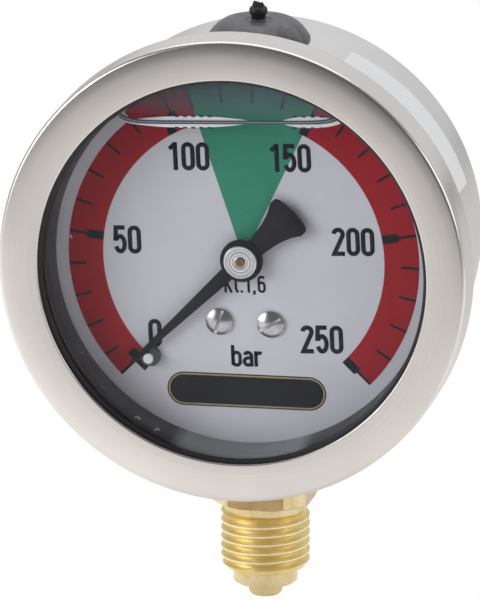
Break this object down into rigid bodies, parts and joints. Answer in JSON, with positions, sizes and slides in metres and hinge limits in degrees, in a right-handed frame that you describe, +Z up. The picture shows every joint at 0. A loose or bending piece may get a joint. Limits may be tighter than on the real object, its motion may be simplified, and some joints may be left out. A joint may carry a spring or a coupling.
{
  "type": "pressure gauge",
  "caption": "Liquid-filled dial pressure gauge with crimped bezel, lower threaded connection, vent plug and a geared bourdon-tube movement that turns the pointer.",
  "frame": {"origin": "axis of the connection, at the lower end of the full thread", "axes": "+Z up the connection, the dial faces -Y, +X to the right of the reader"},
  "size_m": [0.069, 0.033, 0.0915],
  "materials": {
    "case_steel": "satin drawn stainless steel",
    "bezel_steel": "satin turned stainless steel",
    "window_plastic": "clear polished plastic",
    "black_rubber": "moulded black rubber",
    "dial_aluminium": "white painted aluminium",
    "screw_steel": "bright turned steel",
    "turned_steel": "turned silver metal",
    "black_paint": "matt black paint",
    "movement_brass": "stamped and turned brass",
    "spring_bronze": "drawn bronze",
    "connection_brass": "turned brass, slightly dulled",
    "label_film": "white film label"
  },
  "bodies": {
    "gauge": {"case": "case_steel", "bezel": "bezel_steel", "window": "window_plastic", "window_gasket": "black_rubber", "profile_seal": "black_rubber", "dial": "dial_aluminium", "dial_screws": "screw_steel", "stop_pin": "screw_steel", "hairspring": "spring_bronze", "hairspring_stud": "movement_brass", "bourdon_tube": "spring_bronze", "front_plate": "movement_brass", "back_plate": "movement_brass", "plate_pillars": "movement_brass", "plate_screws": "screw_steel", "movement_screws": "screw_steel", "shaft_bushes": "movement_brass", "arbor_bushes": "movement_brass", "socket": "connection_brass", "restrictor": "screw_steel", "socket_seal": "black_rubber", "case_saddle": "screw_steel", "socket_nut": "connection_brass", "vent_plug": "black_rubber", "label": "label_film"},
    "pointer": {"pointer": "black_paint", "pointer_hub": "turned_steel", "pinion_shaft": "movement_brass", "hairspring_collet": "movement_brass"},
    "sector": {"sector_gear": "movement_brass", "sector_arbor": "screw_steel", "tail_pin": "screw_steel"},
    "link": {"link": "movement_brass"},
    "tube_tip": {"tip_block": "movement_brass", "tip_pin": "screw_steel"}
  },
  "joints": [
    {"name": "pointer_spin", "type": "hinge", "parent": "gauge", "child": "pointer", "pos_m": [0, 0, 0.0505], "axis": [0, 1, 0], "range_deg": [0, 270], "deforming": ["hairspring"]},
    {"name": "sector_swing", "type": "hinge", "parent": "gauge", "child": "sector", "pos_m": [0, 0, 0.0355], "axis": [0, 1, 0], "range_deg": [-30.2, 0.2]},
    {"name": "link_pivot", "type": "hinge", "parent": "sector", "child": "link", "pos_m": [-0.00155, 0, 0.0297], "axis": [0, 1, 0], "range_deg": [-0.2, 23.4]},
    {"name": "tube_flex", "type": "hinge", "parent": "gauge", "child": "tube_tip", "pos_m": [0, 0, 0.057], "axis": [0, 1, 0], "range_deg": [-6.6, 0.1], "deforming": ["bourdon_tube"]}
  ],
  "couplings": [
    {"joint": "sector_swing", "follows": "pointer_spin", "ratio": -0.11111},
    {"joint": "link_pivot", "follows": "pointer_spin", "ratio": 0.085853},
    {"joint": "tube_flex", "follows": "pointer_spin", "ratio": -0.023869}
  ]
}
